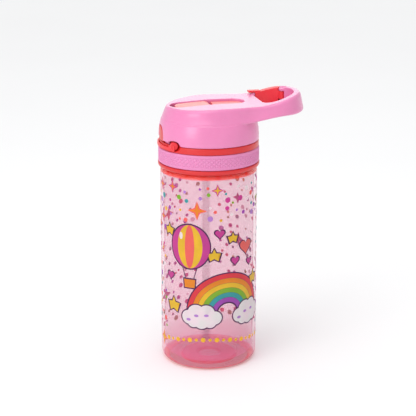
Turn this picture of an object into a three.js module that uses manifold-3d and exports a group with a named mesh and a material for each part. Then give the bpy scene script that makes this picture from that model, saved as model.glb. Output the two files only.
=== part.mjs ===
// A kids' drinking bottle: a clear body, a screw cap with a push button and a lock bail,
// and a flip cover that carries a fold-up nozzle and a carry loop with a spring gate.
// Millimetres, +Z up. The origin is the centre of the base where it rests on the table.
// The carry loop points to +X and the push button to -X.
import * as THREE from 'three';
import { mergeVertices } from 'three/addons/utils/BufferGeometryUtils.js';
import Module from 'manifold-3d';

const wasm = await Module();
wasm.setup();

// ---------------------------------------------------------------- driving dimensions
const GAP = 0.3;              // clearance between neighbouring pieces
const ROUND = 48;             // facets around the large round pieces
const SMALL = 16;             // facets around pins, bosses and small bores

const BODY_R = 35;            // outside radius of the clear body
const WALL = 2.2;             // its wall
const BASE_ROUND = 6;         // radius of the rounded base edge
const SHOULDER_Z = 146;       // where the shoulder meets the neck
const SHOULDER_ROUND = 3.2;
const NECK_R = 29.4;
const NECK_TOP = 160.2;
const FOOT_IN = 21;           // inner radius of the foot ring
const FOOT_OUT = 29;
const PAD_R = 8;              // flat pad in the middle of the base
const FLOOR_Z = 5;            // inside floor beside the middle dome

const PITCH = 4;              // neck thread
const THREAD_TURNS = 1.25;
const THREAD_Z = 150;
const BEAD = 0.8;

const CAP_BOTTOM = 146.5;     // lower lip of the screw cap
const LIP_R = 36.6;
const LIP_TOP = 149.8;
const GRIP_TOP = 161.1;
const GRIP_R = 36.3;
const GROOVE_R = 34.1;        // seat of the grip band
const BAND_R = 36;            // red band above the grip
const BAND_TOP = 165.7;
const CAP_BORE = 31;
const PLATE_BOTTOM = 162.3;
const PLATE_TOP = 164.8;
const COLLAR_R = 33;          // collar inside the flip cover
const COLLAR_IN = 31;
const COLLAR_TOP = 171.5;

const PORT_X = -2;            // straw port, under the nozzle pivot
const PORT_R = 4.2;
const PORT_BORE = 2.6;
const PORT_TOP = 171;
const STUB_BOTTOM = 155;
const STRAW_R = 3.4;
const STRAW_BORE = 2.6;
const STRAW_BOTTOM = 10;

const SPOUT_X = -15.5;        // mouth for drinking without the straw
const SPOUT_R = 7.4;
const SPOUT_BORE = 5.8;
const SPOUT_TOP = 175.6;
const VENT = [13, 14];        // air valve in the cap plate
const VENT_HOLE = 1.5;

const COVER_R = 36.1;         // flip cover at its lower edge
const COVER_WALL = 2.4;
const COVER_BOTTOM = 166;
const CREASE_R = 34.2;        // where the upright wall turns in to the deck
const CREASE_Z = 180.5;
const DECK_CENTRE = 2;        // deck outline: a half ellipse round the front,
const DECK_FRONT = 32.2;      // its reach forward from its centre,
const DECK_HALF = 30;         // and its half width
const CEILING = 180.3;
const HINGE = [33.6, 168.8];  // x and z of the cover hinge
const HINGE_PIN_R = 1.1;
const LUG_R = 3;
const LUG_IN = 6.6;           // the two cap lugs, each side of the cover knuckle
const LUG_OUT = 10;

const SLOT_R = 9;             // recess in the deck for the nozzle
const SLOT_FRONT = -28.2;
const SLOT_BACK = 26;
const SLOT_FLOOR = 182.3;
const PIVOT = [-2, 187];      // x and z of the nozzle pivot
const BARREL_R = 4.2;
const TRUNNION_R = 1.6;
const NOZZLE_HALF = 8.2;
const NOZZLE_TIP = -24.5;
const RETAINER_X = 3;
const RETAINER_TOP = 190.4;

const LOOP_FRONT = 36.5;      // carry loop opening
const LOOP_CENTRE = 45;       // where the arms turn into the elliptical end
const LOOP_LOW = 180.9;       // the opening starts on the top of the upright wall
const LOOP_HOLE = [16.8, 19.4];   // end of the opening: reach along the loop, half width
const LOOP_TOP = [21.3, 26.8];    // the same outside, on the deck
const LOOP_BOTTOM = [24.2, 28.2]; // and outside, on the crease
const GATE_PIVOT = [57.8, 14.5];
const GATE_REACH = 19.5;      // from the gate pivot to its free end
const GATE_EAR_R = 2.4;
const GATE_PIN_R = 0.8;
const EAR_LOW = 189.2;        // the stub's ears hold the pin below and above the knuckle
const EAR_HIGH = 195.2;

const BUTTON_HALF = 8.4;      // push button arch
const BUTTON_BOTTOM = 166.3;
const BUTTON_SPRING_Z = 171;  // height of the button's guide peg
const BUTTON_TOP = 176.7;
const GUIDE_X = [-27, -25];   // wall that guides the button's peg
const BAIL_PIVOT = [-29.1, 165.6];
const BAIL_IN = 35.7;         // the lock bail lies round the front of the band
const BAIL_OUT = 36.9;
const BAIL_BAR = [161.9, 164.4];
const BOSS_R = 2.7;
const BOSS_END = 21.6;        // outer face of the bosses, closed over the pins
const BOSS_SEAT_R = 3.6;

// ---------------------------------------------------------------- solids from three.js geometry
function solid(geometry) {
  const bare = geometry.clone();
  bare.deleteAttribute('normal');
  bare.deleteAttribute('uv');
  const merged = mergeVertices(bare, 1e-4);
  const index = merged.index.array;
  const faces = [];
  for (let i = 0; i < index.length; i += 3) {
    const [a, b, c] = [index[i], index[i + 1], index[i + 2]];
    if (a !== b && b !== c && c !== a) faces.push(a, b, c);
  }
  return new wasm.Manifold(new wasm.Mesh({
    numProp: 3,
    vertProperties: new Float32Array(merged.attributes.position.array),
    triVerts: new Uint32Array(faces),
  }));
}

function geometryOf(manifold) {
  const mesh = manifold.getMesh();
  const geometry = new THREE.BufferGeometry();
  geometry.setAttribute('position', new THREE.BufferAttribute(new Float32Array(mesh.vertProperties), 3));
  geometry.setIndex(new THREE.BufferAttribute(new Uint32Array(mesh.triVerts), 1));
  geometry.computeVertexNormals();
  return geometry;
}

function joined(...solids) {
  return solids.reduce((sum, next) => sum.add(next));
}

function cut(from, ...tools) {
  return tools.reduce((rest, tool) => rest.subtract(tool), from);
}

// A turned solid about the upright line through (x, y); the profile lists [radius, z].
function turned(profile, { segments = ROUND, x = 0, y = 0 } = {}) {
  const points = profile.map(([r, z]) => new THREE.Vector2(r, z));
  const geometry = new THREE.LatheGeometry(points, segments);
  geometry.rotateX(Math.PI / 2);
  geometry.translate(x, y, 0);
  return solid(geometry);
}

function disc(r, low, high, options) {
  return turned([[0, low], [r, low], [r, high], [0, high]], options);
}

function ring(inner, outer, low, high, options) {
  return turned([[inner, low], [outer, low], [outer, high], [inner, high], [inner, low]], options);
}

function box(x0, x1, y0, y1, z0, z1) {
  const geometry = new THREE.BoxGeometry(x1 - x0, y1 - y0, z1 - z0);
  geometry.translate((x0 + x1) / 2, (y0 + y1) / 2, (z0 + z1) / 2);
  return solid(geometry);
}

// A round rod parallel to Y, at the given x and z.
function rodY(r, [x, z], y0, y1, segments = SMALL) {
  const geometry = new THREE.CylinderGeometry(r, r, y1 - y0, segments);
  geometry.translate(x, (y0 + y1) / 2, z);
  return solid(geometry);
}

// A round rod parallel to X, at the given y and z.
function rodX(r, y, z, x0, x1, segments = SMALL) {
  const geometry = new THREE.CylinderGeometry(r, r, x1 - x0, segments);
  geometry.rotateZ(Math.PI / 2);
  geometry.translate((x0 + x1) / 2, y, z);
  return solid(geometry);
}

// A plan shape drawn in x and y, pulled up from z0 to z1.
function pulledUp(shape, z0, z1, curveSegments = 12) {
  const geometry = new THREE.ExtrudeGeometry(shape, { depth: z1 - z0, bevelEnabled: false, curveSegments });
  geometry.translate(0, 0, z0);
  return solid(geometry);
}

// A side shape drawn in x and z, pulled along Y from y0 to y1.
function pulledAcross(shape, y0, y1, curveSegments = 12) {
  const geometry = new THREE.ExtrudeGeometry(shape, { depth: y1 - y0, bevelEnabled: false, curveSegments });
  geometry.rotateX(Math.PI / 2);
  geometry.translate(0, y1, 0);
  return solid(geometry);
}

// A front shape drawn in y and z, pulled along X from x0 to x1.
function pulledBack(shape, x0, x1, curveSegments = 12) {
  const geometry = new THREE.ExtrudeGeometry(shape, { depth: x1 - x0, bevelEnabled: false, curveSegments });
  geometry.rotateY(Math.PI / 2);
  geometry.rotateX(Math.PI / 2);
  geometry.translate(x0, 0, 0);
  return solid(geometry);
}

function rectangle(x0, x1, y0, y1) {
  return new THREE.Shape([[x0, y0], [x1, y0], [x1, y1], [x0, y1]].map(([x, y]) => new THREE.Vector2(x, y)));
}

function stadium(x0, x1, r) {
  const shape = new THREE.Shape();
  shape.moveTo(x0 + r, -r);
  shape.lineTo(x1 - r, -r);
  shape.absarc(x1 - r, 0, r, -Math.PI / 2, Math.PI / 2, false);
  shape.lineTo(x0 + r, r);
  shape.absarc(x0 + r, 0, r, Math.PI / 2, 1.5 * Math.PI, false);
  return shape;
}

// A helix about the Z axis, used for the thread beads and the coil springs.
class Helix extends THREE.Curve {
  constructor(r, z, pitch, turns, toPoint = (x, y, h) => new THREE.Vector3(x, y, h)) {
    super();
    Object.assign(this, { r, z, pitch, turns, toPoint });
  }

  getPoint(t) {
    const angle = 2 * Math.PI * this.turns * t;
    const height = this.z + this.pitch * this.turns * t;
    return this.toPoint(this.r * Math.cos(angle), this.r * Math.sin(angle), height);
  }
}

function wire(curve, r, steps) {
  const section = new THREE.Shape();
  section.absarc(0, 0, r, 0, 2 * Math.PI, false);
  return solid(new THREE.ExtrudeGeometry(section, {
    steps, extrudePath: curve, bevelEnabled: false, curveSegments: 3,
  }));
}

// A solid skinned over rings of points that all have the same count, lowest ring first.
function skinned(rings) {
  const count = rings[0].length;
  const points = rings.flat();
  const faces = [];
  for (let k = 0; k + 1 < rings.length; k += 1) {
    for (let i = 0; i < count; i += 1) {
      const j = (i + 1) % count;
      const [a, b, c, d] = [k * count + i, k * count + j, (k + 1) * count + j, (k + 1) * count + i];
      faces.push(a, b, c, a, c, d);
    }
  }
  const flat = (points3) => points3.map((p) => new THREE.Vector2(p.x, p.y));
  for (const [a, b, c] of THREE.ShapeUtils.triangulateShape(flat(rings[0]), [])) faces.push(a, c, b);
  const top = (rings.length - 1) * count;
  for (const [a, b, c] of THREE.ShapeUtils.triangulateShape(flat(rings.at(-1)), [])) {
    faces.push(top + a, top + b, top + c);
  }
  const geometry = new THREE.BufferGeometry().setFromPoints(points);
  geometry.setIndex(faces);
  return solid(geometry);
}

// ---------------------------------------------------------------- materials
function plastic(color, roughness, extra = {}) {
  return new THREE.MeshStandardMaterial({ color, roughness, metalness: 0, ...extra });
}

const CLEAR = plastic(0xf3cdda, 0.08, { transparent: true, opacity: 0.45 });
const RED = plastic(0xdc2f37, 0.32);
const PINK = plastic(0xf09ac8, 0.38);
const GRIP_PINK = plastic(0xe597bf, 0.6);
const CORAL = plastic(0xff968c, 0.4);
const SILICONE = plastic(0xf4f1ee, 0.55);
const STRAW_CLEAR = plastic(0xf6d7dc, 0.3, { transparent: true, opacity: 0.6 });
const STEEL = new THREE.MeshStandardMaterial({ color: 0xb9bcc0, roughness: 0.3, metalness: 1 });

const bottle = new THREE.Group();

function add(name, shape, material) {
  const mesh = new THREE.Mesh(geometryOf(shape), material);
  mesh.name = name;
  bottle.add(mesh);
}

// Points on a quarter round from one angle to another about (r, z).
function quarter(r, z, radius, from, to, steps = 4) {
  return Array.from({ length: steps + 1 }, (_, i) => {
    const angle = from + ((to - from) * i) / steps;
    return [r + radius * Math.cos(angle), z + radius * Math.sin(angle)];
  });
}

// ---------------------------------------------------------------- body
function bottleBody() {
  const inner = BODY_R - WALL;
  const bore = NECK_R - WALL;
  const right = Math.PI / 2;
  const profile = [
    [0, 0], [PAD_R, 0], [PAD_R + 1.5, 1.4], [FOOT_IN - 1.5, 1.4], [FOOT_IN, 0], [FOOT_OUT, 0],
    ...quarter(FOOT_OUT, BASE_ROUND, BASE_ROUND, -right, 0, 5).slice(1),
    ...quarter(BODY_R - SHOULDER_ROUND, SHOULDER_Z - SHOULDER_ROUND, SHOULDER_ROUND, 0, right),
    [NECK_R, SHOULDER_Z], [NECK_R, NECK_TOP], [bore, NECK_TOP], [bore, SHOULDER_Z - WALL],
    [inner, SHOULDER_Z - WALL - 3.5],
    ...quarter(inner - BASE_ROUND, FLOOR_Z + BASE_ROUND, BASE_ROUND, 0, -right),
    [FOOT_IN, FLOOR_Z], [PAD_R + 3, FLOOR_Z + 1.8], [0, FLOOR_Z + 2.4],
  ];
  const bead = wire(new Helix(NECK_R + 0.2, THREAD_Z, PITCH, THREAD_TURNS), BEAD, 30);
  return joined(turned(profile), bead);
}

// ---------------------------------------------------------------- screw cap
// The side shape of the lock bail: a boss at each pivot, two arms, and a bar round the front.
function bailSide(grow) {
  const [px] = BAIL_PIVOT;
  const [low, high] = BAIL_BAR;
  const bar = rectangle(-40, px - 1, low - grow, high + grow);
  const arm = rectangle(px - 3 - grow, px + grow, low - grow, BAIL_PIVOT[1]);
  return joined(pulledAcross(bar, -26, 26), pulledAcross(arm, -26, 26));
}

function screwCap() {
  const right = Math.PI / 2;
  const shell = turned([
    [CAP_BORE, CAP_BOTTOM], [LIP_R - 1.8, CAP_BOTTOM],
    ...quarter(LIP_R - 1.8, CAP_BOTTOM + 1.8, 1.8, -right, 0, 4).slice(1),
    [LIP_R, LIP_TOP], [GROOVE_R, LIP_TOP], [GROOVE_R, GRIP_TOP], [BAND_R, GRIP_TOP],
    [BAND_R, BAND_TOP - 0.4], [BAND_R - 0.4, BAND_TOP], [COLLAR_R, BAND_TOP], [COLLAR_R, COLLAR_TOP],
    [COLLAR_IN, COLLAR_TOP], [COLLAR_IN, PLATE_TOP], [0, PLATE_TOP], [0, PLATE_BOTTOM],
    [CAP_BORE, PLATE_BOTTOM], [CAP_BORE, CAP_BOTTOM],
  ]);
  const bead = wire(new Helix(CAP_BORE - 0.1, THREAD_Z - PITCH / 2, PITCH, THREAD_TURNS), BEAD + 0.1, 30);
  const port = disc(PORT_R, STUB_BOTTOM, PORT_TOP, { segments: SMALL, x: PORT_X });
  const [hx, hz] = HINGE;
  const hingeShape = joined(
    rodY(LUG_R, HINGE, -LUG_OUT, LUG_OUT),
    box(hx - LUG_R, BAND_R, -LUG_OUT, LUG_OUT, PLATE_BOTTOM + 1, hz),
  );
  const lugs = cut(
    hingeShape.intersect(disc(BAND_R, PLATE_BOTTOM, COVER_BOTTOM + 10)),
    box(hx - 10, hx + 10, -LUG_IN, LUG_IN, BAND_TOP, hz + 10),
  );
  const guide = box(...GUIDE_X, -8, 8, PLATE_TOP - 1, 176);
  const body = cut(
    joined(shell, bead, port),
    box(21, 40, -40, 40, BAND_TOP, COLLAR_TOP + 1),
    box(-40, -26.5, -BUTTON_HALF - 2, BUTTON_HALF + 2, BAND_TOP + 0.1, COLLAR_TOP + 1),
    rodY(BOSS_SEAT_R, BAIL_PIVOT, -26, -18.2),
    rodY(BOSS_SEAT_R, BAIL_PIVOT, 18.2, 26),
    bailSide(0.4).intersect(ring(BAIL_IN - 0.35, 40, 150, 180)),
    ring(BAIL_IN - 0.35, 40, BAIL_BAR[1], BAND_TOP + 1)
      .intersect(box(-40, BAIL_PIVOT[0], -30, 30, 160, 170)),
  );
  return cut(
    joined(body, lugs, guide),
    rodY(HINGE_PIN_R + 0.3, HINGE, -12, 12),
    disc(PORT_BORE, STUB_BOTTOM - 1, PORT_TOP + 1, { segments: SMALL, x: PORT_X }),
    disc(SPOUT_BORE + 1.6, PLATE_BOTTOM - 1, PLATE_TOP + 1, { segments: SMALL, x: SPOUT_X }),
    disc(VENT_HOLE, PLATE_BOTTOM - 1, PLATE_TOP + 1, { segments: 12, x: VENT[0], y: VENT[1] }),
    rodX(2.6, 0, BUTTON_SPRING_Z, GUIDE_X[0] - 1, GUIDE_X[1] + 1),
    rodY(1.4, BAIL_PIVOT, -26, -15),
    rodY(1.4, BAIL_PIVOT, 15, 26),
  );
}

function gripBand() {
  const [low, high] = [LIP_TOP + GAP, GRIP_TOP - GAP];
  return turned([
    [GROOVE_R + GAP, low], [GRIP_R - 0.5, low], [GRIP_R, low + 0.5], [GRIP_R, high - 0.5],
    [GRIP_R - 0.5, high], [GROOVE_R + GAP, high], [GROOVE_R + GAP, low],
  ]);
}

function neckSeal() {
  return ring(NECK_R - WALL + 0.3, NECK_R + 1.2, NECK_TOP + GAP, PLATE_BOTTOM - GAP);
}

function straw() {
  return ring(STRAW_BORE, STRAW_R, STRAW_BOTTOM, STUB_BOTTOM - GAP, { segments: SMALL, x: PORT_X });
}

// The sleeve that joins the straw to the stub under the cap.
function strawSocket() {
  const [low, step, high] = [STUB_BOTTOM - 6, STUB_BOTTOM, PLATE_BOTTOM - 0.4];
  const [narrow, wide, outer] = [STRAW_R + GAP, PORT_R + GAP, PORT_R + 2];
  return turned([
    [narrow, low], [outer, low], [outer, high], [wide, high], [wide, step], [narrow, step], [narrow, low],
  ], { segments: SMALL, x: PORT_X });
}

// A mushroom valve that lets air in as water goes out.
function ventValve() {
  return turned([
    [0, PLATE_BOTTOM - 2], [2.4, PLATE_BOTTOM - 1], [1.2, PLATE_BOTTOM - 0.4], [1.1, PLATE_TOP + GAP],
    [3.6, PLATE_TOP + GAP], [3.2, PLATE_TOP + 1], [0, PLATE_TOP + 1.6],
  ], { segments: 16, x: VENT[0], y: VENT[1] });
}

function drinkSpout() {
  const flange = PLATE_TOP + GAP;
  return turned([
    [SPOUT_BORE, PLATE_BOTTOM - 0.6], [SPOUT_BORE + 1.2, PLATE_BOTTOM - 0.6], [SPOUT_BORE + 1.2, flange],
    [SPOUT_R + 1.2, flange], [SPOUT_R + 1.2, flange + 1.2], [SPOUT_R, flange + 2.2],
    [SPOUT_R - 0.2, SPOUT_TOP - 0.6], [SPOUT_R - 0.8, SPOUT_TOP], [SPOUT_BORE, SPOUT_TOP],
    [SPOUT_BORE, PLATE_BOTTOM - 0.6],
  ], { segments: 32, x: SPOUT_X });
}

// ---------------------------------------------------------------- push button and lock bail
function archShape(low, grow) {
  const shape = new THREE.Shape();
  const [half, high, spring] = [BUTTON_HALF + grow, BUTTON_TOP + grow, BUTTON_BOTTOM + 3.5];
  shape.moveTo(-half, low);
  shape.lineTo(half, low);
  shape.lineTo(half, spring);
  shape.absellipse(0, spring, half, high - spring, 0, Math.PI, false);
  shape.closePath();
  return shape;
}

function pushButton() {
  const plate = pulledBack(archShape(BUTTON_BOTTOM, 0), -38, -28)
    .intersect(ring(33.7, 35.5, 160, 182));
  return joined(plate, rodX(2.2, 0, BUTTON_SPRING_Z, -34.2, GUIDE_X[1] - 0.4));
}

function buttonSpring() {
  const along = (x, y, h) => new THREE.Vector3(h, x, BUTTON_SPRING_Z + y);
  return wire(new Helix(3, GUIDE_X[0] - 0.6, -1.1, 3.2, along), 0.3, 40);
}

function lockBail() {
  const strap = bailSide(0).intersect(ring(BAIL_IN, BAIL_OUT, 150, 180));
  const bosses = joined(
    rodY(BOSS_R, BAIL_PIVOT, -BOSS_END, -18.6),
    rodY(BOSS_R, BAIL_PIVOT, 18.6, BOSS_END),
  );
  return cut(joined(strap, bosses), rodY(1.4, BAIL_PIVOT, -BOSS_END + 0.9, BOSS_END - 0.9));
}

function bailPin(side) {
  const end = BOSS_END - 1.2;
  const [y0, y1] = side < 0 ? [-end, -16.6] : [16.6, end];
  return rodY(1.1, BAIL_PIVOT, y0, y1);
}

// ---------------------------------------------------------------- flip cover
// Height of the deck and of the crease along X: both rise towards the carry loop.
function deckZ(x) {
  const { smoothstep } = THREE.MathUtils;
  return 190.6 + 1.4 * smoothstep(x, -30, 5) + 6.9 * smoothstep(x, 28, 68);
}

function creaseZ(x) {
  return CREASE_Z + 4.4 * THREE.MathUtils.smoothstep(x, 18, 52);
}

// Half outlines in plan, from the front tip to the end of the carry loop, seen at y <= 0:
// a quarter ellipse round the front, a long taper to the loop, and a quarter ellipse at its end.
function halfOutline(centre, [reach, half], [endReach, endHalf], [taperFrom, taperTo]) {
  const points = [];
  for (let i = 0; i <= 10; i += 1) {
    const sweep = (Math.PI * i) / 20;
    points.push(new THREE.Vector2(centre - reach * Math.cos(sweep), -half * Math.sin(sweep)));
  }
  for (let i = 1; i <= 8; i += 1) {
    const x = THREE.MathUtils.lerp(centre, LOOP_CENTRE, i / 8);
    const taper = THREE.MathUtils.smoothstep(x, taperFrom, taperTo);
    points.push(new THREE.Vector2(x, -THREE.MathUtils.lerp(half, endHalf, taper)));
  }
  for (let i = 1; i <= 8; i += 1) {
    const angle = (Math.PI * (i - 8)) / 16;
    points.push(new THREE.Vector2(LOOP_CENTRE + endReach * Math.cos(angle), endHalf * Math.sin(angle)));
  }
  return points;
}

// The cover's upper skin, from the crease to the deck. Its sides are a little hollow, and its
// edges are rounded, most of all on the deck.
function upperCover() {
  const low = halfOutline(0, [CREASE_R, CREASE_R], LOOP_BOTTOM, [0, 30]);
  const high = halfOutline(DECK_CENTRE, [DECK_FRONT, DECK_HALF], LOOP_TOP, [DECK_CENTRE, 36]);
  const ringAt = (s, inset) => {
    const half = low.map((p, i) => {
      const q = high[i];
      const { lerp, smoothstep } = THREE.MathUtils;
      const hollow = 3.6 * s * (1 - s) * smoothstep(p.x, -34, -15) * (1 - smoothstep(p.x, 20, 40));
      const x = lerp(p.x, q.x, s);
      const y = lerp(p.y, q.y, s);
      const centre = new THREE.Vector2(Math.min(Math.max(x, 0), LOOP_CENTRE), 0);
      const inward = new THREE.Vector2(x, y).sub(centre).normalize().multiplyScalar(hollow + inset);
      return new THREE.Vector3(x - inward.x, y - inward.y, lerp(creaseZ(p.x), deckZ(q.x), s));
    });
    const mirrored = half.slice(1, -1).reverse().map((p) => new THREE.Vector3(p.x, -p.y, p.z));
    return [...half, ...mirrored];
  };
  const steps = [[0, 1.5], [0.13, 0.2], [0.4, 0], [0.65, 0], [0.88, 0.35], [1, 1.5]];
  return skinned(steps.map(([s, inset]) => ringAt(s, inset)));
}

function loopHole() {
  const shape = new THREE.Shape();
  const [reach, half] = LOOP_HOLE;
  const corner = 8;
  shape.moveTo(LOOP_FRONT + corner, -half);
  shape.lineTo(LOOP_CENTRE, -half);
  shape.absellipse(LOOP_CENTRE, 0, reach, half, -Math.PI / 2, Math.PI / 2, false);
  shape.lineTo(LOOP_FRONT, half);
  shape.lineTo(LOOP_FRONT, -half + corner);
  shape.absarc(LOOP_FRONT + corner, -half + corner, corner, Math.PI, 1.5 * Math.PI, false);
  return pulledUp(shape, LOOP_LOW, 210);
}

// The far arm of the loop, between the body and the gate pivot.
function gateZone(extra) {
  const [gx, gy] = GATE_PIVOT;
  const reach = GATE_REACH + extra;
  const arm = box(LOOP_FRONT - 2, gx - 0.9 + extra, gy - 1.6, 32, LOOP_LOW, 210);
  return arm.intersect(disc(reach, LOOP_LOW, 210, { x: gx, y: gy }));
}

// The hook at the gate's free end, which lies over the deck.
function gateLip(extra) {
  return box(34.2 - extra, 43, 19.7 - extra, 25.2 + extra, 193.4 - extra, 194.8);
}

function upright(r, low, high) {
  return disc(r, low, high, { segments: SMALL, x: GATE_PIVOT[0], y: GATE_PIVOT[1] });
}

function flipCover() {
  const drum = turned([
    [0, COVER_BOTTOM], [COVER_R, COVER_BOTTOM], [COVER_R, 169], [COVER_R - 0.2, 172.5], [COVER_R - 0.7, 176],
    [COVER_R - 1.3, 178.6], [CREASE_R, CREASE_Z + 0.4], [0, CREASE_Z + 0.4],
  ]);
  const cavity = disc(COVER_R - COVER_WALL - 0.1, COVER_BOTTOM - 1, CEILING - 3);
  const upperCavity = turned([
    [0, CEILING - 4], [COVER_R - COVER_WALL - 0.1, CEILING - 4], [COVER_R - COVER_WALL - 1.5, CEILING - 1.5],
    [21, CEILING + 7.5], [0, CEILING + 7.5],
  ]);
  const slotBlock = box(-34, 36, -SLOT_R - 2, SLOT_R + 2, CEILING, CEILING + 10);
  const notchWidth = LUG_OUT + 0.5;
  const shell = cut(
    joined(drum, upperCover()),
    cavity,
    cut(upperCavity, slotBlock),
    pulledUp(stadium(SLOT_FRONT, SLOT_BACK, SLOT_R), SLOT_FLOOR, 205),
    disc(5.6, CEILING - 1, SLOT_FLOOR + 1, { segments: SMALL, x: PORT_X }),
    rodY(TRUNNION_R + 0.35, PIVOT, -NOZZLE_HALF - 2.1, NOZZLE_HALF + 2.1),
    loopHole(),
    gateZone(GAP),
    gateLip(GAP),
    upright(GATE_EAR_R + 0.4, LOOP_LOW, 210),
    pulledBack(archShape(COVER_BOTTOM - 2, 0.4), -40, -28),
    rodY(BOSS_SEAT_R, BAIL_PIVOT, -30, -14),
    rodY(BOSS_SEAT_R, BAIL_PIVOT, 14, 30),
    ring(COVER_R - 1.5, 40, COVER_BOTTOM - 1, COVER_BOTTOM + 1.3)
      .intersect(box(-40, -30, -30, 30, 160, 170)),
    box(BAIL_PIVOT[0] - BOSS_SEAT_R, BAIL_PIVOT[0] + BOSS_SEAT_R, -30, 30, COVER_BOTTOM - 1, BAIL_PIVOT[1]),
    box(28, 40, -notchWidth, notchWidth, COVER_BOTTOM - 1, HINGE[1] + LUG_R + 0.3),
  );
  const [hx, hz] = HINGE;
  const knuckle = joined(
    rodY(LUG_R - 0.2, HINGE, -LUG_IN + GAP, LUG_IN - GAP),
    box(hx - 2.4, 40, -LUG_IN + GAP, LUG_IN - GAP, hz, hz + 5),
  ).intersect(disc(COVER_R - 0.1, 160, 175));
  const top = deckZ(58) - 0.6;
  const ears = joined(
    upright(GATE_EAR_R, creaseZ(58) + 0.2, EAR_LOW - 1.9),
    upright(GATE_EAR_R, EAR_HIGH, top),
    box(57.6, 62, GATE_PIVOT[1] - 1, GATE_PIVOT[1] + 3, creaseZ(58) + 0.2, EAR_LOW - 1.9),
    box(57.6, 62, GATE_PIVOT[1] - 1, GATE_PIVOT[1] + 3, EAR_HIGH, top),
  );
  return cut(
    joined(shell, knuckle, ears),
    rodY(HINGE_PIN_R + 0.3, HINGE, -12, 12),
    upright(GATE_PIN_R + 0.3, creaseZ(58) + 1.4, top - 1.2),
  );
}

function coverHingePin() {
  return rodY(HINGE_PIN_R, HINGE, -LUG_OUT + 0.6, LUG_OUT - 0.6);
}

// The pad under the deck that closes the drinking mouth.
function spoutSeal() {
  return turned([
    [0, SPOUT_TOP - 1], [SPOUT_BORE - 0.6, SPOUT_TOP - 1], [SPOUT_BORE - 0.6, SPOUT_TOP + GAP],
    [SPOUT_R + 0.6, SPOUT_TOP + GAP], [SPOUT_R + 0.6, CEILING - GAP], [0, CEILING - GAP],
  ], { segments: 32, x: SPOUT_X });
}

// ---------------------------------------------------------------- nozzle
function nozzle() {
  const side = new THREE.Shape();
  const reach = NOZZLE_HALF + 1.7;
  side.moveTo(PIVOT[0], PIVOT[1] - BARREL_R + 0.7);
  side.lineTo(PIVOT[0], PIVOT[1] + BARREL_R);
  side.lineTo(NOZZLE_TIP - 1, deckZ(NOZZLE_TIP) - 0.7);
  side.lineTo(NOZZLE_TIP - 1, PIVOT[1] - 2.2);
  const plan = new THREE.Shape();
  const [tipR, tipHalf] = [5.5, 7];
  plan.moveTo(PIVOT[0] + BARREL_R + 1, -NOZZLE_HALF);
  plan.lineTo(PIVOT[0] + BARREL_R + 1, NOZZLE_HALF);
  plan.lineTo(PIVOT[0] - 8, NOZZLE_HALF);
  plan.lineTo(NOZZLE_TIP + tipR, tipHalf);
  plan.absellipse(NOZZLE_TIP + tipR, 0, tipR, tipHalf, Math.PI / 2, 1.5 * Math.PI, false);
  plan.lineTo(PIVOT[0] - 8, -NOZZLE_HALF);
  const body = joined(pulledAcross(side, -9, 9), rodY(BARREL_R, PIVOT, -9, 9, 32))
    .intersect(pulledUp(plan, 180, 200));
  return cut(
    joined(body, rodY(TRUNNION_R, PIVOT, -reach, reach)),
    rodX(1.7, 0, PIVOT[1], NOZZLE_TIP - 2, PIVOT[0] + BARREL_R + 2),
  );
}

// The sealed passage under the nozzle, through the cover to the straw port.
function nozzleGasket() {
  const [low, flange] = [PORT_TOP + 0.4, CEILING - 1.7];
  const shape = turned([
    [2.2, low], [5.2, low], [5.2, flange], [7.4, flange], [7.4, CEILING - GAP], [5.2, CEILING - GAP],
    [5.2, SLOT_FLOOR + 0.1], [2.2, SLOT_FLOOR + 0.1], [2.2, low],
  ], { segments: SMALL, x: PORT_X });
  return cut(shape, box(-20, PORT_X - 5.25, -10, 10, low, CEILING));
}

// The bar behind the nozzle that covers the rest of the recess.
function nozzleRetainer() {
  return pulledUp(stadium(RETAINER_X - 10, SLOT_BACK - 0.4, SLOT_R - 0.4), SLOT_FLOOR + GAP, RETAINER_TOP)
    .intersect(box(RETAINER_X, 30, -10, 10, SLOT_FLOOR, 200));
}

// ---------------------------------------------------------------- gate
function handleGate() {
  const arm = cut(upperCover().intersect(gateZone(0)), loopHole());
  const plate = cut(
    joined(arm, gateLip(0)),
    upright(GATE_EAR_R + 0.4, 170, EAR_LOW),
    upright(GATE_EAR_R + 0.4, EAR_HIGH - GAP, 210),
  );
  const knuckle = upright(GATE_EAR_R - 0.2, EAR_LOW, EAR_HIGH - GAP);
  return cut(joined(plate, knuckle), upright(GATE_PIN_R + 0.3, 170, 210));
}

function gatePin() {
  return upright(GATE_PIN_R, creaseZ(58) + 1.7, deckZ(58) - 2.1);
}

function gateSpring() {
  const around = (x, y, h) => new THREE.Vector3(GATE_PIVOT[0] + x, GATE_PIVOT[1] + y, h);
  return wire(new Helix(1.6, EAR_LOW - 1.4, 0.55, 2, around), 0.22, 22);
}

add('bottle_body', bottleBody(), CLEAR);
add('screw_cap', screwCap(), RED);
add('grip_band', gripBand(), GRIP_PINK);
add('neck_seal', neckSeal(), SILICONE);
add('straw', straw(), STRAW_CLEAR);
add('straw_socket', strawSocket(), SILICONE);
add('vent_valve', ventValve(), SILICONE);
add('drink_spout', drinkSpout(), CORAL);
add('push_button', pushButton(), RED);
add('button_spring', buttonSpring(), STEEL);
add('lock_bail', lockBail(), RED);
add('bail_pin_left', bailPin(-1), STEEL);
add('bail_pin_right', bailPin(1), STEEL);
add('cover_hinge_pin', coverHingePin(), STEEL);
add('flip_cover', flipCover(), PINK);
add('spout_seal', spoutSeal(), SILICONE);
add('nozzle', nozzle(), CORAL);
add('nozzle_gasket', nozzleGasket(), SILICONE);
add('nozzle_retainer', nozzleRetainer(), CORAL);
add('handle_gate', handleGate(), RED);
add('gate_pin', gatePin(), STEEL);
add('gate_spring', gateSpring(), STEEL);

export default bottle;
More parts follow.
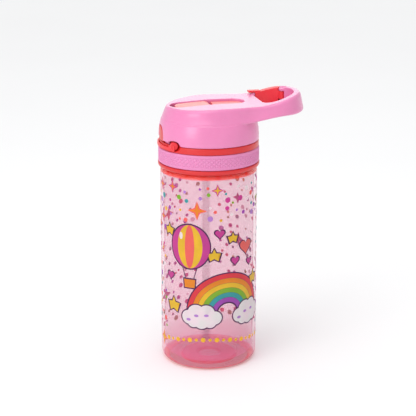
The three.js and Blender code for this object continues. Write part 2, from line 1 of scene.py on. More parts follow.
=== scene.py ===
"""A kids' drinking bottle: clear printed body, red screw cap, pink grip band, and a pink flip
cover with a coral fold-up nozzle and a carry loop. Lengths below are in millimetres, in the
frame's axes: +Z up, the carry loop towards +X, the push button towards -X."""

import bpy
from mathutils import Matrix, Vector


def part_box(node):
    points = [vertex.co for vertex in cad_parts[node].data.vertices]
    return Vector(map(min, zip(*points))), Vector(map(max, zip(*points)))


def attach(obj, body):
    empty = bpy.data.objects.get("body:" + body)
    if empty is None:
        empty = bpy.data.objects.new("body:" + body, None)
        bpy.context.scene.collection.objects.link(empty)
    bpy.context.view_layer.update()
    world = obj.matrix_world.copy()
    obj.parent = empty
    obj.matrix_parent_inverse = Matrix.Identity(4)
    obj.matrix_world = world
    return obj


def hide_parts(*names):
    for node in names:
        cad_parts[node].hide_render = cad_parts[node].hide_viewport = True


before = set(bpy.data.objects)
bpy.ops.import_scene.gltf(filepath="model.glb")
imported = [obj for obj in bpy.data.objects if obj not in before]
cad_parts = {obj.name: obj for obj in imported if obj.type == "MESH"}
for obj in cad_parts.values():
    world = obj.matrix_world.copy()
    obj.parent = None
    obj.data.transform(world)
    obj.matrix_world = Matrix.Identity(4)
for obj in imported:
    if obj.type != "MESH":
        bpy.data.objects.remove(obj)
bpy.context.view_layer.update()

import math
import random

import bmesh
import bpy
from mathutils import Vector

MM = 0.001
VOXEL = 0.4            # cell size when a large moulded piece is remeshed
SMALL_VOXEL = 0.25    # the same for small pieces
ROUND = 192             # facets around the large rounds
X, Z = 0, 2


def high_of(node, axis):
    """The upper end of a CAD node along an axis."""
    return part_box(node)[1][axis] / MM


# ------------------------------------------------------------------ sizes
BODY_R = high_of("bottle_body", X)
NECK_TOP = high_of("bottle_body", Z)
WALL = 2.2
BASE_ROUND = 6
FLOOR_Z = 5
SHOULDER_Z = 146
SHOULDER_ROUND = 3.2
NECK_R = 29.4
PITCH = 4
THREAD_Z = 150
THREAD_TURNS = 1.25

CAP_LOW = 146.5
LIP_R = 36.6
LIP_TOP = 149.8
GROOVE_R = 34.1
GRIP_R = 36.3
GRIP_TOP = 161.1
BAND_R = 36
BAND_TOP = 165.7
CAP_BORE = 31
PLATE_LOW = 162.3
PLATE_TOP = 164.8
COLLAR_R = 33
COLLAR_IN = 31
COLLAR_TOP = 171.5
PORT_X = -2
PORT_R = 4.2
PORT_BORE = 2.6
PORT_TOP = 171
STUB_LOW = 155
SPOUT_X = -15.5
SPOUT_R = 7.4
SPOUT_BORE = 5.8
SPOUT_TOP = 175.6
VENT = (13, 14)

COVER_R = 36.1
COVER_INNER = 33.6
COVER_LOW = 166
CREASE_R = 34.2
CREASE_Z = 180.5
DECK_CENTRE = 2
DECK_FRONT = 32.2
DECK_HALF = 30
CEILING = 180.3
HINGE = (33.6, 168.8)
SLOT_R = 9
SLOT_FRONT = -28.2
SLOT_BACK = 26
SLOT_FLOOR = 182.3
PIVOT = (-2, 187)
BARREL_R = 4.2
TRUNNION_R = 1.6
NOZZLE_HALF = 8.2
NOZZLE_TIP = -24.5
RETAINER_TOP = 190.4
LOOP_FRONT = 36.5
LOOP_CENTRE = 45
LOOP_LOW = 180.9
LOOP_HOLE = (16.8, 19.4)
LOOP_TOP = (21.3, 26.8)
LOOP_BOTTOM = (24.2, 28.2)
GATE_PIVOT = (57.8, 14.5)
GATE_REACH = 19.5
EAR_LOW = 189.2
EAR_HIGH = 195.2
BUTTON_HALF = 8.4
BUTTON_LOW = 166.3
BUTTON_TOP = 176.7
BUTTON_SPRING_Z = 171
BAIL_PIVOT = (-29.1, 165.6)
BOSS_R = 2.7
BOSS_END = 21.6
BOSS_SEAT_R = 3.6
PIN_R = 1.1
PIN_BORE = 1.4                           # holes for the bail's pins and the cover's hinge pin
GATE_PIN_R = 0.8
GATE_BORE = 1.1
WIRE_SIDES = 10
FACING = math.radians(-102)              # the side of the body that carries the picture


# ------------------------------------------------------------------ colours and materials
def srgb(red, green, blue):
    """A display colour as Blender's linear values."""
    def linear(c):
        c /= 255
        return c / 12.92 if c <= 0.04045 else ((c + 0.055) / 1.055) ** 2.4
    return (linear(red), linear(green), linear(blue), 1)


def grey(value):
    return (value, value, value, 1)


def shade(colour, amount):
    """A lighter or darker version of a colour."""
    return tuple(min(1, c * amount) for c in colour[:3]) + (1,)


def new_material(name):
    material = bpy.data.materials.new(name)
    material.use_nodes = True
    tree = material.node_tree
    return material, tree, tree.nodes["Principled BSDF"]


def noise(tree, scale, detail):
    where = tree.nodes.new("ShaderNodeTexCoord")
    texture = tree.nodes.new("ShaderNodeTexNoise")
    texture.inputs["Scale"].default_value = scale
    texture.inputs["Detail"].default_value = detail
    tree.links.new(where.outputs["Object"], texture.inputs["Vector"])
    return texture.outputs["Fac"]


def height(tree, low, high):
    """A value that climbs from 0 to 1 between two heights in millimetres."""
    where = tree.nodes.new("ShaderNodeTexCoord")
    axes = tree.nodes.new("ShaderNodeSeparateXYZ")
    node = tree.nodes.new("ShaderNodeMapRange")
    node.inputs["From Min"].default_value = low * MM
    node.inputs["From Max"].default_value = high * MM
    tree.links.new(where.outputs["Object"], axes.inputs["Vector"])
    tree.links.new(axes.outputs["Z"], node.inputs["Value"])
    return node.outputs["Result"]


def ramp(tree, source, stops):
    """A colour ramp over a value, its stops given as (position, colour)."""
    node = tree.nodes.new("ShaderNodeValToRGB")
    elements = node.color_ramp.elements
    while len(elements) < len(stops):
        elements.new(0.5)
    for element, (position, colour) in zip(elements, stops):
        element.position = position
        element.color = colour
    tree.links.new(source, node.inputs["Fac"])
    return node.outputs["Color"]


def spread(tree, source, low, high):
    """A value of 0 to 1, stretched to run from low to high."""
    node = tree.nodes.new("ShaderNodeMapRange")
    node.inputs["To Min"].default_value = low
    node.inputs["To Max"].default_value = high
    tree.links.new(source, node.inputs["Value"])
    return node.outputs["Result"]


def bump(tree, shader, source, distance, strength):
    node = tree.nodes.new("ShaderNodeBump")
    node.inputs["Distance"].default_value = distance
    node.inputs["Strength"].default_value = strength
    tree.links.new(source, node.inputs["Height"])
    tree.links.new(node.outputs["Normal"], shader.inputs["Normal"])


def moulded(name, colour, rough, grain=0.00003, soft=0.0, coat=0.0):
    """Injection-moulded plastic: faint flow marks, fine grain from the mould, uneven sheen."""
    material, tree, shader = new_material(name)
    flow = noise(tree, 55, 4)
    stops = [(0.3, shade(colour, 0.96)), (0.7, shade(colour, 1.03))]
    tree.links.new(ramp(tree, flow, stops), shader.inputs["Base Color"])
    tree.links.new(spread(tree, flow, rough - 0.05, rough + 0.05), shader.inputs["Roughness"])
    bump(tree, shader, noise(tree, 1500, 2), grain, 0.5)
    if soft:
        shader.inputs["Subsurface Weight"].default_value = soft
        shader.inputs["Subsurface Radius"].default_value = (1, 0.5, 0.7)
        shader.inputs["Subsurface Scale"].default_value = 0.003
    shader.inputs["Coat Weight"].default_value = coat
    shader.inputs["Coat Roughness"].default_value = 0.2
    return material


def clear_plastic():
    """Pink-tinted clear copolyester, a little milky: the thick base gathers more colour than
    the walls, the shoulder carries a painted reflection of the red cap above it, and the walls
    grow denser where they are seen edge on."""
    body_height, neck_start = 148, 0.963
    wall, shoulder, base = grey(0.19), grey(0.8), grey(0.6)
    material, tree, shader = new_material("clear_body")
    pale, deep, coral = srgb(232, 124, 168), srgb(252, 112, 164), srgb(250, 58, 48)
    # the last stop is a painted reflection: the cap's red painted onto the shoulder, not the
    # plastic's own colour
    stops = [(0.0, coral), (0.009, coral), (0.014, deep), (0.07, srgb(248, 124, 172)),
             (0.11, pale), (neck_start, pale), (0.969, srgb(250, 66, 54))]
    level = height(tree, 0, body_height)
    tree.links.new(ramp(tree, level, stops), shader.inputs["Base Color"])
    tree.links.new(spread(tree, noise(tree, 90, 3), 0.07, 0.13), shader.inputs["Roughness"])
    edge = tree.nodes.new("ShaderNodeLayerWeight")
    edge.inputs["Blend"].default_value = 0.5
    rim = tree.nodes.new("ShaderNodeMapRange")
    rim.inputs["From Min"].default_value = 0.62
    rim.inputs["To Max"].default_value = 0.7
    shader.inputs["Specular IOR Level"].default_value = 0.3
    tree.links.new(edge.outputs["Facing"], rim.inputs["Value"])
    # the shoulder is made nearly opaque here so that its painted red reflection of the cap shows
    density = [(0.0, base), (0.012, base), (0.016, grey(0.26)), (0.09, grey(0.23)),
               (0.11, wall), (neck_start, wall), (0.969, shoulder)]
    densest = tree.nodes.new("ShaderNodeMath")
    densest.operation = "MAXIMUM"
    tree.links.new(ramp(tree, level, density), densest.inputs[0])
    tree.links.new(rim.outputs["Result"], densest.inputs[1])
    tree.links.new(densest.outputs["Value"], shader.inputs["Alpha"])
    bump(tree, shader, noise(tree, 60, 2), 0.00003, 0.2)
    return material


def tube_plastic():
    """Extruded straw: clear, with faint draw lines along it."""
    material, tree, shader = new_material("straw_tube")
    flow = noise(tree, 120, 2)
    stops = [(0.3, srgb(252, 214, 228)), (0.7, srgb(254, 228, 238))]
    tree.links.new(ramp(tree, flow, stops), shader.inputs["Base Color"])
    tree.links.new(spread(tree, flow, 0.2, 0.32), shader.inputs["Roughness"])
    shader.inputs["Alpha"].default_value = 0.035
    return material


def ink(name, colour, partner=None):
    """Printed ink: a slightly uneven film with a soft gloss, which lets some light through."""
    see_through = 0.42
    material, tree, shader = new_material("ink_" + name)
    stops = [(0.35, shade(colour, 0.96)), (0.65, partner or shade(colour, 1.05))]
    tree.links.new(ramp(tree, noise(tree, 110, 3), stops), shader.inputs["Base Color"])
    grain = noise(tree, 2500, 1)
    tree.links.new(spread(tree, grain, 0.28, 0.4), shader.inputs["Roughness"])
    bump(tree, shader, grain, 0.00001, 0.4)
    glow = tree.nodes.new("ShaderNodeBsdfTranslucent")
    tree.links.new(shader.inputs["Base Color"].links[0].from_socket, glow.inputs["Color"])
    blend = tree.nodes.new("ShaderNodeMixShader")
    blend.inputs["Fac"].default_value = see_through
    tree.links.new(shader.outputs["BSDF"], blend.inputs[1])
    tree.links.new(glow.outputs["BSDF"], blend.inputs[2])
    tree.links.new(blend.outputs["Shader"], tree.nodes["Material Output"].inputs["Surface"])
    return material


def metal():
    """Stainless wire and ground pins, with fine streaks."""
    material, tree, shader = new_material("stainless")
    streak = noise(tree, 900, 5)
    stops = [(0.3, srgb(168, 171, 176)), (0.7, srgb(206, 209, 213))]
    tree.links.new(ramp(tree, streak, stops), shader.inputs["Base Color"])
    shader.inputs["Metallic"].default_value = 1
    tree.links.new(spread(tree, streak, 0.2, 0.36), shader.inputs["Roughness"])
    bump(tree, shader, streak, 0.00002, 0.4)
    return material


CLEAR = clear_plastic()
TUBE = tube_plastic()
RED = moulded("red_plastic", srgb(216, 34, 38), 0.34, coat=0.15)
RED_GATE = moulded("red_gate_plastic", srgb(236, 52, 62), 0.38)
PINK = moulded("pink_plastic", srgb(231, 133, 182), 0.3, soft=0.1, coat=0.35)
GRIP = moulded("pink_silicone", srgb(226, 138, 186), 0.62, grain=0.00005, soft=0.1)
CORAL = moulded("coral_plastic", srgb(255, 132, 128), 0.38, soft=0.1, coat=0.1)
SILICONE = moulded("white_silicone", srgb(243, 238, 234), 0.6, grain=0.00002, soft=0.1)
STEEL = metal()


# ------------------------------------------------------------------ mesh tools
def make(name, bm):
    """A new object from a bmesh drawn in millimetres."""
    bmesh.ops.scale(bm, vec=(MM, MM, MM), verts=bm.verts)
    mesh = bpy.data.meshes.new(name)
    bm.to_mesh(mesh)
    bm.free()
    piece = bpy.data.objects.new(name, mesh)
    bpy.context.scene.collection.objects.link(piece)
    return piece


def soften(piece, degrees=32):
    """Smooth shading that keeps edges sharper than this angle."""
    bm = bmesh.new()
    bm.from_mesh(piece.data)
    limit = math.radians(degrees)
    for face in bm.faces:
        face.smooth = True
    for edge in bm.edges:
        edge.smooth = edge.calc_face_angle(0) < limit
    bm.to_mesh(piece.data)
    bm.free()
    return piece


def applied(piece):
    """Makes the piece's modifiers part of its mesh."""
    graph = bpy.context.evaluated_depsgraph_get()
    mesh = bpy.data.meshes.new_from_object(piece.evaluated_get(graph))
    piece.modifiers.clear()
    piece.data = mesh
    return piece


def combine(piece, operation, tools):
    """Cuts, adds or intersects a piece with solids that are used up in doing so."""
    for tool in tools:
        modifier = piece.modifiers.new("combine", "BOOLEAN")
        modifier.operation = operation
        modifier.object = tool
        modifier.solver = "MANIFOLD"
    applied(piece)
    for tool in tools:
        bpy.data.objects.remove(tool)
    return piece


def cut(piece, *tools):
    return combine(piece, "DIFFERENCE", tools)


def joined(piece, *tools):
    return combine(piece, "UNION", tools)


def common(piece, *tools):
    return combine(piece, "INTERSECT", tools)


def melted(piece, voxel, rounds):
    """Remeshes a sharp solid evenly and eases its edges, as a mould does."""
    remesh = piece.modifiers.new("remesh", "REMESH")
    remesh.mode = "VOXEL"
    remesh.voxel_size = voxel * MM
    ease = piece.modifiers.new("ease", "SMOOTH")
    ease.factor = 0.5
    ease.iterations = rounds
    return soften(applied(piece), 60)


def place(piece, name, material, body, slot, *nodes):
    """Names and dresses a finished piece, and hangs it on its body."""
    piece.name = name
    piece.data.materials.clear()
    piece.data.materials.append(material)
    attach(piece, body)
    if nodes:
        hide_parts(*nodes)
    return piece


def arc(centre, radius, start, end, steps):
    """Points of an arc, its angles in degrees."""
    turn = [math.radians(start + (end - start) * i / steps) for i in range(steps + 1)]
    return [(centre[0] + radius * math.cos(a), centre[1] + radius * math.sin(a)) for a in turn]


def lathe(profile, facets=None, at=(0, 0), along="z"):
    """A turned solid: the profile lists (radius, distance along the axis), closed on itself
    or on the axis. The axis is upright through (x, y), or level: along y through (x, z), or
    along x through (y, z)."""
    facets = facets or ROUND
    bm = bmesh.new()
    rings = []
    for r, h in profile:
        if r == 0:
            ring_points = [(0, 0, h)]
        else:
            turn = [2 * math.pi * i / facets for i in range(facets)]
            ring_points = [(r * math.cos(a), r * math.sin(a), h) for a in turn]
        if along == "z":
            spots = [(at[0] + x, at[1] + y, z) for x, y, z in ring_points]
        elif along == "y":
            spots = [(at[0] + x, z, at[1] - y) for x, y, z in ring_points]
        else:
            spots = [(z, at[0] + x, at[1] + y) for x, y, z in ring_points]
        rings.append([bm.verts.new(spot) for spot in spots])
    pairs = list(zip(rings, rings[1:]))
    if profile[0][0] > 0:
        pairs.append((rings[-1], rings[0]))
    for low, high in pairs:
        if len(low) == len(high) == 1:
            continue
        for i in range(facets):
            j = (i + 1) % facets
            if len(low) == 1:
                bm.faces.new((low[0], high[j], high[i]))
            elif len(high) == 1:
                bm.faces.new((low[i], low[j], high[0]))
            else:
                bm.faces.new((low[i], low[j], high[j], high[i]))
    bmesh.ops.recalc_face_normals(bm, faces=bm.faces)
    return soften(make("turned", bm))


def disc(r, low, high, facets, at=(0, 0)):
    return lathe([(0, low), (r, low), (r, high), (0, high)], facets, at)


def ring(inner, outer, low, high):
    return lathe([(inner, low), (outer, low), (outer, high), (inner, high)])


def rod_y(r, at, low, high, facets=48):
    return lathe([(0, low), (r, low), (r, high), (0, high)], facets, at, "y")


def rod_x(r, at, low, high):
    return lathe([(0, low), (r, low), (r, high), (0, high)], 48, at, "x")


def prism(outline, low, high, plane):
    """A flat outline in the named plane, pulled along the third axis."""
    spot = {
        "xy": lambda a, b, c: (a, b, c),
        "xz": lambda a, b, c: (a, c, b),
        "yz": lambda a, b, c: (c, a, b),
    }[plane]
    bm = bmesh.new()
    ends = [[bm.verts.new(spot(a, b, c)) for a, b in outline] for c in (low, high)]
    bm.faces.new(ends[0])
    bm.faces.new(ends[1])
    for i in range(len(outline)):
        j = (i + 1) % len(outline)
        bm.faces.new((ends[0][i], ends[0][j], ends[1][j], ends[1][i]))
    bmesh.ops.recalc_face_normals(bm, faces=bm.faces)
    return make("prism", bm)


def box(x0, x1, y0, y1, z0, z1):
    return prism([(x0, y0), (x1, y0), (x1, y1), (x0, y1)], z0, z1, "xy")


def stadium(x0, x1, r):
    """A slot's outline: round at both ends, along x."""
    return arc((x1 - r, 0), r, -90, 90, 24) + arc((x0 + r, 0), r, 90, 270, 24)


def smoothstep(value, low, high):
    t = min(1, max(0, (value - low) / (high - low)))
    return t * t * (3 - 2 * t)


def wire(radius, steps, path):
    """A round wire along path(t), with t from 0 to 1."""
    points = [Vector(path(i / steps)) for i in range(steps + 1)]
    turn = [2 * math.pi * k / WIRE_SIDES for k in range(WIRE_SIDES)]
    bm = bmesh.new()
    loops = []
    side = (points[1] - points[0]).orthogonal().normalized()
    for i, point in enumerate(points):
        along = (points[min(i + 1, steps)] - points[max(i - 1, 0)]).normalized()
        side = (side - side.dot(along) * along).normalized()
        other = along.cross(side)
        spots = [point + radius * (side * math.cos(a) + other * math.sin(a)) for a in turn]
        loops.append([bm.verts.new(spot) for spot in spots])
    for low, high in zip(loops, loops[1:]):
        for k in range(WIRE_SIDES):
            j = (k + 1) % WIRE_SIDES
            bm.faces.new((low[k], low[j], high[j], high[k]))
    bm.faces.new(loops[0])
    bm.faces.new(loops[-1])
    bmesh.ops.recalc_face_normals(bm, faces=bm.faces)
    return soften(make("wire", bm), 60)


def helix(r, z, pitch, turns):
    """A path for wire(): a rising thread."""
    def path(t):
        angle = 2 * math.pi * turns * t
        return (r * math.cos(angle), r * math.sin(angle), z + pitch * turns * t)
    return path


# ------------------------------------------------------------------ stage, light and camera
def stage():
    """A pale floor that reaches far past the view."""
    floor_r, corners = 9000, 96
    last = 360 - 360 / corners
    bm = bmesh.new()
    bm.faces.new([bm.verts.new((x, y, 0)) for x, y in arc((0, 0), floor_r, 0, last, corners - 1)])
    floor = make("floor", bm)
    material, tree, shader = new_material("paper")
    shader.inputs["Roughness"].default_value = 0.95
    shader.inputs["Specular IOR Level"].default_value = 0.05
    stops = [(0.3, (0.945, 0.945, 0.945, 1)), (0.7, (0.955, 0.955, 0.955, 1))]
    tree.links.new(ramp(tree, noise(tree, 3, 2), stops), shader.inputs["Base Color"])
    floor.data.materials.append(material)


def lamp(name, kind, spot, energy):
    """A light that points at the middle of the bottle."""
    target = (0, 0, 0.1)
    light = bpy.data.lights.new(name, kind)
    light.energy = energy
    holder = bpy.data.objects.new(name, light)
    holder.location = spot
    aim = Vector(target) - Vector(spot)
    holder.rotation_euler = aim.to_track_quat("-Z", "Y").to_euler()
    bpy.context.scene.collection.objects.link(holder)
    return light


def lights():
    """Soft daylight all round, with a panel behind that only shows as gloss."""
    world = bpy.data.worlds.new("studio")
    world.use_nodes = True
    background = world.node_tree.nodes["Background"]
    background.inputs["Color"].default_value = (0.985, 0.99, 1, 1)
    background.inputs["Strength"].default_value = 0.71
    bpy.context.scene.world = world
    bpy.context.scene.view_settings.view_transform = "Standard"
    key = lamp("soft_key", "SUN", (-0.5, -0.55, 1.5), 0.9)
    key.angle = math.radians(50)
    overhead = lamp("overhead_panel", "AREA", (0.1, 0.2, 0.9), 1.0)
    overhead.size = 0.9
    sheen = lamp("sheen_panel", "AREA", (0.25, 1.2, 0.75), 3.6)
    sheen.size = 1.1
    bpy.data.objects["sheen_panel"].visible_diffuse = False
    strip = lamp("left_panel", "AREA", (-0.9, -0.7, 0.45), 3.0)
    strip.size = 0.5


def camera():
    """A long lens from a little above, a few degrees round from the bottle's side."""
    distance, eye = 0.895, 0.369
    azimuth, pitch = math.radians(-12), math.radians(15.94)
    data = bpy.data.cameras.new("camera")
    data.lens = 110.5
    data.shift_x = -0.0016
    data.sensor_width = 36
    view = bpy.data.objects.new("camera", data)
    view.location = (distance * math.sin(azimuth), -distance * math.cos(azimuth), eye)
    level = math.cos(pitch)
    ahead = Vector((-math.sin(azimuth) * level, math.cos(azimuth) * level, -math.sin(pitch)))
    view.rotation_euler = ahead.to_track_quat("-Z", "Y").to_euler()
    bpy.context.scene.collection.objects.link(view)
    bpy.context.scene.camera = view


stage()
lights()
camera()


# ------------------------------------------------------------------ body
def bottle_body():
    inner = BODY_R - WALL
    bore = NECK_R - WALL
    profile = [(0, 0), (7.5, 0), (8.1, 0.3), (9.4, 1.4), (19.6, 1.4), (20.7, 0.3), (21.3, 0)]
    profile += arc((29, BASE_ROUND), BASE_ROUND, -90, 0, 16)
    r = SHOULDER_ROUND
    profile += arc((BODY_R - r, SHOULDER_Z - r), r, 0, 90, 12)
    profile += arc((NECK_R + 0.8, SHOULDER_Z + 0.8), 0.8, 270, 180, 5)
    profile += arc((NECK_R - 0.7, NECK_TOP - 0.7), 0.7, 0, 90, 5)
    profile += arc((bore + 0.7, NECK_TOP - 0.7), 0.7, 90, 180, 5)
    profile += [(bore, SHOULDER_Z - WALL + 0.4)]
    profile += arc((bore + 1.2, SHOULDER_Z - WALL + 0.4), 1.2, 180, 250, 4)[1:]
    profile += arc((inner - 3.4, SHOULDER_Z - WALL - 3.7), 3.4, 80, 0, 10)
    profile += arc((inner - BASE_ROUND, FLOOR_Z + BASE_ROUND), BASE_ROUND, 0, -90, 14)
    profile += [(21, FLOOR_Z + 0.05), (15, FLOOR_Z + 0.8), (9, FLOOR_Z + 1.9), (4, FLOOR_Z + 2.3)]
    profile += [(0, FLOOR_Z + 2.4)]
    shell = lathe(profile)
    bead = wire(0.8, 140, helix(NECK_R + 0.2, THREAD_Z, PITCH, THREAD_TURNS))
    soften(joined(shell, bead))
    place(shell, "bottle_shell", CLEAR, "bottle", "body_clear", "bottle_body")


# ------------------------------------------------------------------ screw cap and what it carries
def bail_side(grow):
    """The side shape of the lock bail: a bar round the front and an arm up to each pivot."""
    bar = box(-40, BAIL_PIVOT[0] - 1, -26, 26, 161.9 - grow, 164.4 + grow)
    arm = box(BAIL_PIVOT[0] - 3 - grow, BAIL_PIVOT[0] + grow, -26, 26, 161.9 - grow, BAIL_PIVOT[1])
    return joined(bar, arm)


def screw_cap():
    lip_round = 1.8
    profile = [(CAP_BORE, CAP_LOW), (LIP_R - lip_round, CAP_LOW)]
    profile += arc((LIP_R - lip_round, CAP_LOW + lip_round), lip_round, -90, 0, 10)[1:]
    profile += [(LIP_R, LIP_TOP), (GROOVE_R, LIP_TOP), (GROOVE_R, GRIP_TOP), (BAND_R, GRIP_TOP)]
    profile += [(BAND_R, BAND_TOP - 0.4), (BAND_R - 0.4, BAND_TOP), (COLLAR_R, BAND_TOP)]
    profile += [(COLLAR_R, COLLAR_TOP), (COLLAR_IN, COLLAR_TOP), (COLLAR_IN, PLATE_TOP)]
    profile += [(0, PLATE_TOP), (0, PLATE_LOW), (CAP_BORE, PLATE_LOW)]
    cap = lathe(profile)
    bead = wire(0.9, 140, helix(CAP_BORE - 0.1, THREAD_Z - PITCH / 2, PITCH, THREAD_TURNS))
    joined(cap, bead, disc(PORT_R, STUB_LOW, PORT_TOP, 64, (PORT_X, 0)))
    strap_seat = common(bail_side(0.4), ring(35.35, 40, 150, 180))
    rise = common(ring(35.35, 40, 164.4, BAND_TOP + 1), box(-40, BAIL_PIVOT[0], -30, 30, 160, 170))
    cut(cap, box(21, 40, -40, 40, BAND_TOP, COLLAR_TOP + 1),
        box(-40, -26.5, -BUTTON_HALF - 2, BUTTON_HALF + 2, BAND_TOP + 0.1, COLLAR_TOP + 1),
        rod_y(BOSS_SEAT_R, BAIL_PIVOT, -26, -18.2), rod_y(BOSS_SEAT_R, BAIL_PIVOT, 18.2, 26),
        strap_seat, rise)
    hinge_x, hinge_z = HINGE
    lugs = joined(rod_y(3, HINGE, -10, 10),
                  box(hinge_x - 3, BAND_R, -10, 10, PLATE_LOW + 1, hinge_z))
    common(lugs, disc(BAND_R, PLATE_LOW, COVER_LOW + 10, ROUND))
    cut(lugs, box(hinge_x - 10, hinge_x + 10, -6.6, 6.6, BAND_TOP, hinge_z + 10))
    joined(cap, lugs, box(-27, -25, -8, 8, PLATE_TOP - 1, 176))
    cut(cap, rod_y(PIN_BORE, HINGE, -12, 12),
        disc(PORT_BORE, STUB_LOW - 1, PORT_TOP + 1, 48, (PORT_X, 0)),
        disc(SPOUT_BORE + 1.6, PLATE_LOW - 1, PLATE_TOP + 1, 64, (SPOUT_X, 0)),
        disc(1.5, PLATE_LOW - 1, PLATE_TOP + 1, 32, VENT),
        rod_x(2.6, (0, BUTTON_SPRING_Z), -28, -24),
        rod_y(PIN_BORE, BAIL_PIVOT, -26, -15), rod_y(PIN_BORE, BAIL_PIVOT, 15, 26))
    melted(cap, VOXEL, 3)
    place(cap, "cap_shell", RED, "cap", "cap_red", "screw_cap")


def grip_band():
    """The soft sleeve: plain borders, and a field of small raised diamonds between them."""
    low, high, inner = LIP_TOP + 0.3, GRIP_TOP - 0.3, GROOVE_R + 0.3
    field_low, field_high, rows, across = 151.9, 159.1, 2.5, 66
    steps, facets, depth = 46, 990, 0.42
    bm = bmesh.new()

    def surface(angle, z):
        edge = min(z - low, high - z)
        round_off = 0.55 * max(0, 1 - edge / 0.8) ** 2
        u = across * angle / (2 * math.pi)
        v = rows * (z - field_low) / (field_high - field_low)
        ridge = min(abs(math.sin(math.pi * (u + v))), abs(math.sin(math.pi * (u - v))))
        field = smoothstep(min(z - field_low, field_high - z), 0, 0.5)
        groove = depth * field * (1 - smoothstep(ridge, 0.0, 0.75))
        return GRIP_R - round_off - groove

    heights = [low + (high - low) * k / steps for k in range(steps + 1)]
    turn = [2 * math.pi * i / facets for i in range(facets)]
    rings = []
    for z in heights:
        spots = [(surface(a, z), a) for a in turn]
        rings.append([bm.verts.new((r * math.cos(a), r * math.sin(a), z)) for r, a in spots])
    for z in (high, low):
        rings.append([bm.verts.new((inner * math.cos(a), inner * math.sin(a), z)) for a in turn])
    for a_ring, b_ring in zip(rings, rings[1:] + rings[:1]):
        for i in range(facets):
            j = (i + 1) % facets
            bm.faces.new((a_ring[i], a_ring[j], b_ring[j], b_ring[i]))
    bmesh.ops.recalc_face_normals(bm, faces=bm.faces)
    band = soften(make("band", bm), 50)
    place(band, "grip_sleeve", GRIP, "cap", "grip_pink", "grip_band")


def neck_seal():
    low, high = NECK_TOP + 0.3, PLATE_LOW - 0.3
    inner, outer, r = NECK_R - WALL + 0.3, NECK_R + 1.2, 0.3
    profile = arc((inner + r, low + r), r, 180, 270, 3) + arc((outer - r, low + r), r, 270, 360, 3)
    profile += arc((outer - r, high - r), r, 0, 90, 3) + arc((inner + r, high - r), r, 90, 180, 3)
    place(lathe(profile), "neck_gasket", SILICONE, "neck_ring", "silicone_white", "neck_seal")


def straw():
    low, high, bore, outer = 10, STUB_LOW - 0.3, 2.6, 3.4
    profile = [(bore, low + 0.2), (bore + 0.3, low), (outer - 0.3, low), (outer, low + 0.3)]
    profile += [(outer, high - 0.2), (outer - 0.2, high), (bore + 0.2, high), (bore, high - 0.2)]
    place(lathe(profile, 48, (PORT_X, 0)), "straw_tube", TUBE, "cap", "straw_clear", "straw")


def straw_socket():
    low, step, high, outer = STUB_LOW - 6, STUB_LOW, PLATE_LOW - 0.4, PORT_R + 2
    straw_bore, stub_bore = 3.7, 4.5
    profile = [(straw_bore, low), (outer - 0.4, low), (outer, low + 0.4), (outer, low + 2.2)]
    profile += [(outer - 0.3, low + 2.5), (outer - 0.3, low + 4.4), (outer, low + 4.7)]
    profile += [(outer, high), (stub_bore, high), (stub_bore, step), (straw_bore, step)]
    sleeve = lathe(profile, 64, (PORT_X, 0))
    place(sleeve, "straw_sleeve", SILICONE, "cap", "silicone_white", "straw_socket")


def vent_valve():
    low, top = PLATE_LOW, PLATE_TOP
    profile = [(0, low - 2), (1.2, low - 1.9), (2.4, low - 1), (1.2, low - 0.4)]
    profile += [(1.1, top + 0.3), (3.6, top + 0.3), (3.5, top + 0.8), (2.6, top + 1.3)]
    profile += [(1.3, top + 1.55), (0, top + 1.6)]
    place(lathe(profile, 48, VENT), "air_valve", SILICONE, "cap", "silicone_white", "vent_valve")


def drink_spout():
    flange, bore, outer = PLATE_TOP + 0.3, SPOUT_BORE, SPOUT_R
    profile = [(bore, PLATE_LOW - 0.6), (bore + 1.2, PLATE_LOW - 0.6), (bore + 1.2, flange)]
    profile += [(outer + 1.2, flange), (outer + 1.2, flange + 0.9), (outer + 0.9, flange + 1.2)]
    profile += arc((outer + 0.9, flange + 2.1), 0.9, 270, 180, 5)
    profile += arc((outer - 0.9, SPOUT_TOP - 0.7), 0.7, 0, 90, 6)
    profile += arc((bore + 0.4, SPOUT_TOP - 0.4), 0.4, 90, 180, 5)
    place(lathe(profile, 96, (SPOUT_X, 0)), "drink_mouth", CORAL, "cap", "coral", "drink_spout")


def pin_y(name, node, body, r, at, y0, y1):
    """A ground pin with chamfered ends, lying along Y."""
    profile = [(0, y0), (r - 0.25, y0), (r, y0 + 0.25), (r, y1 - 0.25), (r - 0.25, y1), (0, y1)]
    place(lathe(profile, 32, at, "y"), name, STEEL, body, "steel", node)


def button_spring():
    turns, pitch, r, start = 3.2, 1.1, 3, -27.6

    def path(t):
        angle = 2 * math.pi * turns * t
        across, up = r * math.cos(angle), r * math.sin(angle)
        return (start - pitch * turns * t, across, BUTTON_SPRING_Z + up)
    place(wire(0.3, 110, path), "button_coil", STEEL, "cap", "steel", "button_spring")


def arch(low, grow):
    """The outline of the push button, in y and z."""
    half, spring = BUTTON_HALF + grow, BUTTON_LOW + 3.5
    rise = BUTTON_TOP + grow - spring
    turn = [math.pi * i / 40 for i in range(41)]
    over = [(half * math.cos(a), spring + rise * math.sin(a)) for a in turn]
    return over + [(-half, low), (half, low)]


def push_button():
    plate = common(prism(arch(BUTTON_LOW, 0), -38, -28, "yz"), ring(33.7, 35.5, 160, 182))
    joined(plate, rod_x(2.2, (0, BUTTON_SPRING_Z), -34.2, -25.4))
    melted(plate, SMALL_VOXEL, 5)
    place(plate, "release_button", RED, "button", "cap_red", "push_button")


